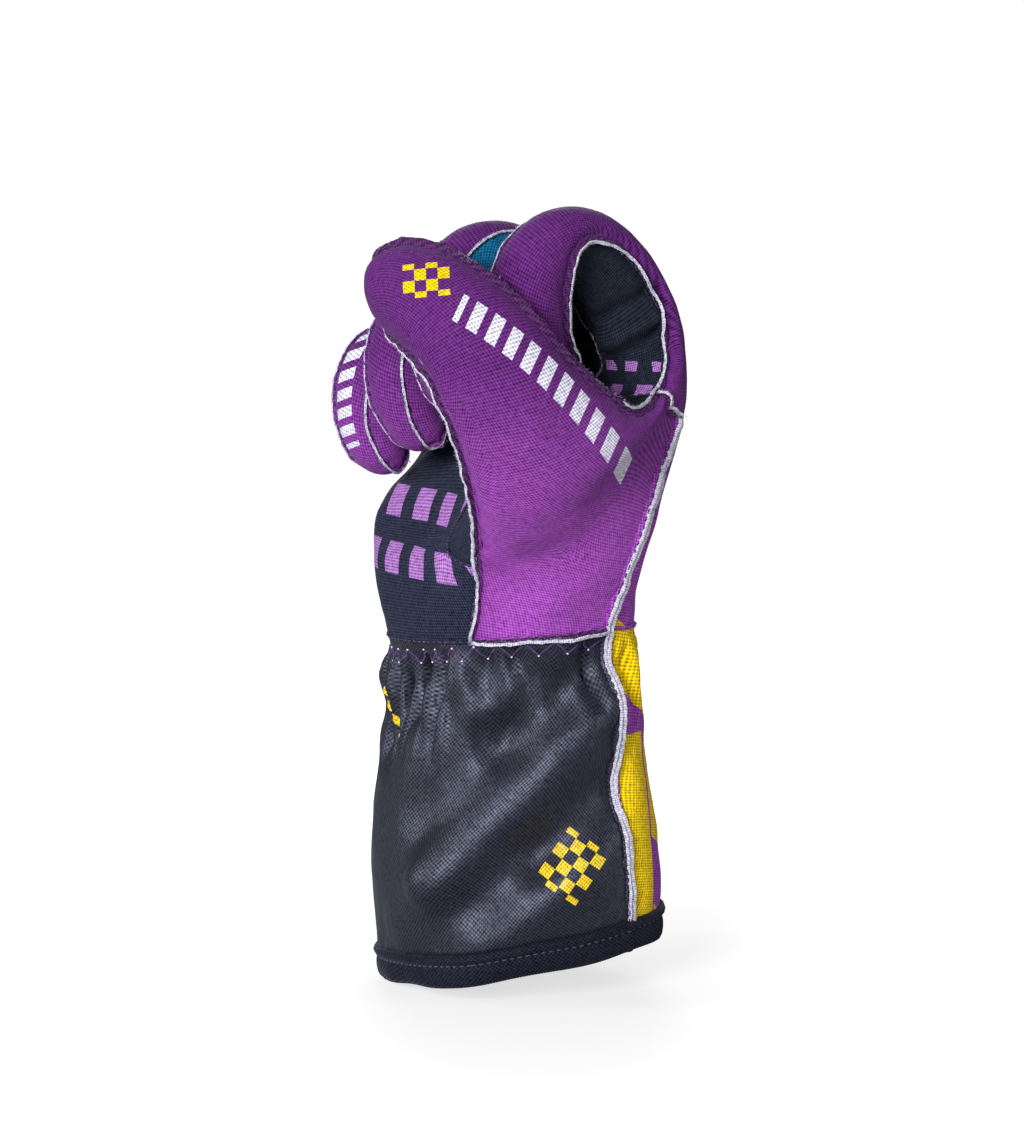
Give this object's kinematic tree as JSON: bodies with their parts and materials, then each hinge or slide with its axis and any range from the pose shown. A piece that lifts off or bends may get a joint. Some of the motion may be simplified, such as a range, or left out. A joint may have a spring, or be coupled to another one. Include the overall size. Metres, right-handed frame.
{
  "type": "racing glove",
  "caption": "Gauntlet racing glove for the right hand, worn in a closed grip, with external seams, a gathered wrist and a long flared cuff.",
  "frame": {"origin": "middle of the wrist at the elastic line, where the wearer's arm carries the glove", "axes": "+Z along the forearm towards the fingers, -X out of the palm, +X out of the back of the hand, -Y to the thumb's side"},
  "size_m": [0.0957, 0.1081, 0.2148],
  "materials": {
    "purple_knit": "printed bonded knit",
    "black_knit": "matte knit",
    "teal_knit": "matte knit",
    "cuff_knit": "smooth knit with a soft sheen",
    "rib_binding": "ribbed knit"
  },
  "bodies": {
    "root": {"back_panel": "purple_knit", "palm_panel": "black_knit", "thumb_panel": "purple_knit", "thumb_inner": "black_knit", "gusset_1": "teal_knit", "gusset_2": "purple_knit", "gusset_3": "purple_knit", "little_side": "purple_knit", "cuff_palm": "cuff_knit", "cuff_back": "purple_knit", "hem_binding": "rib_binding"}
  },
  "joints": []
}
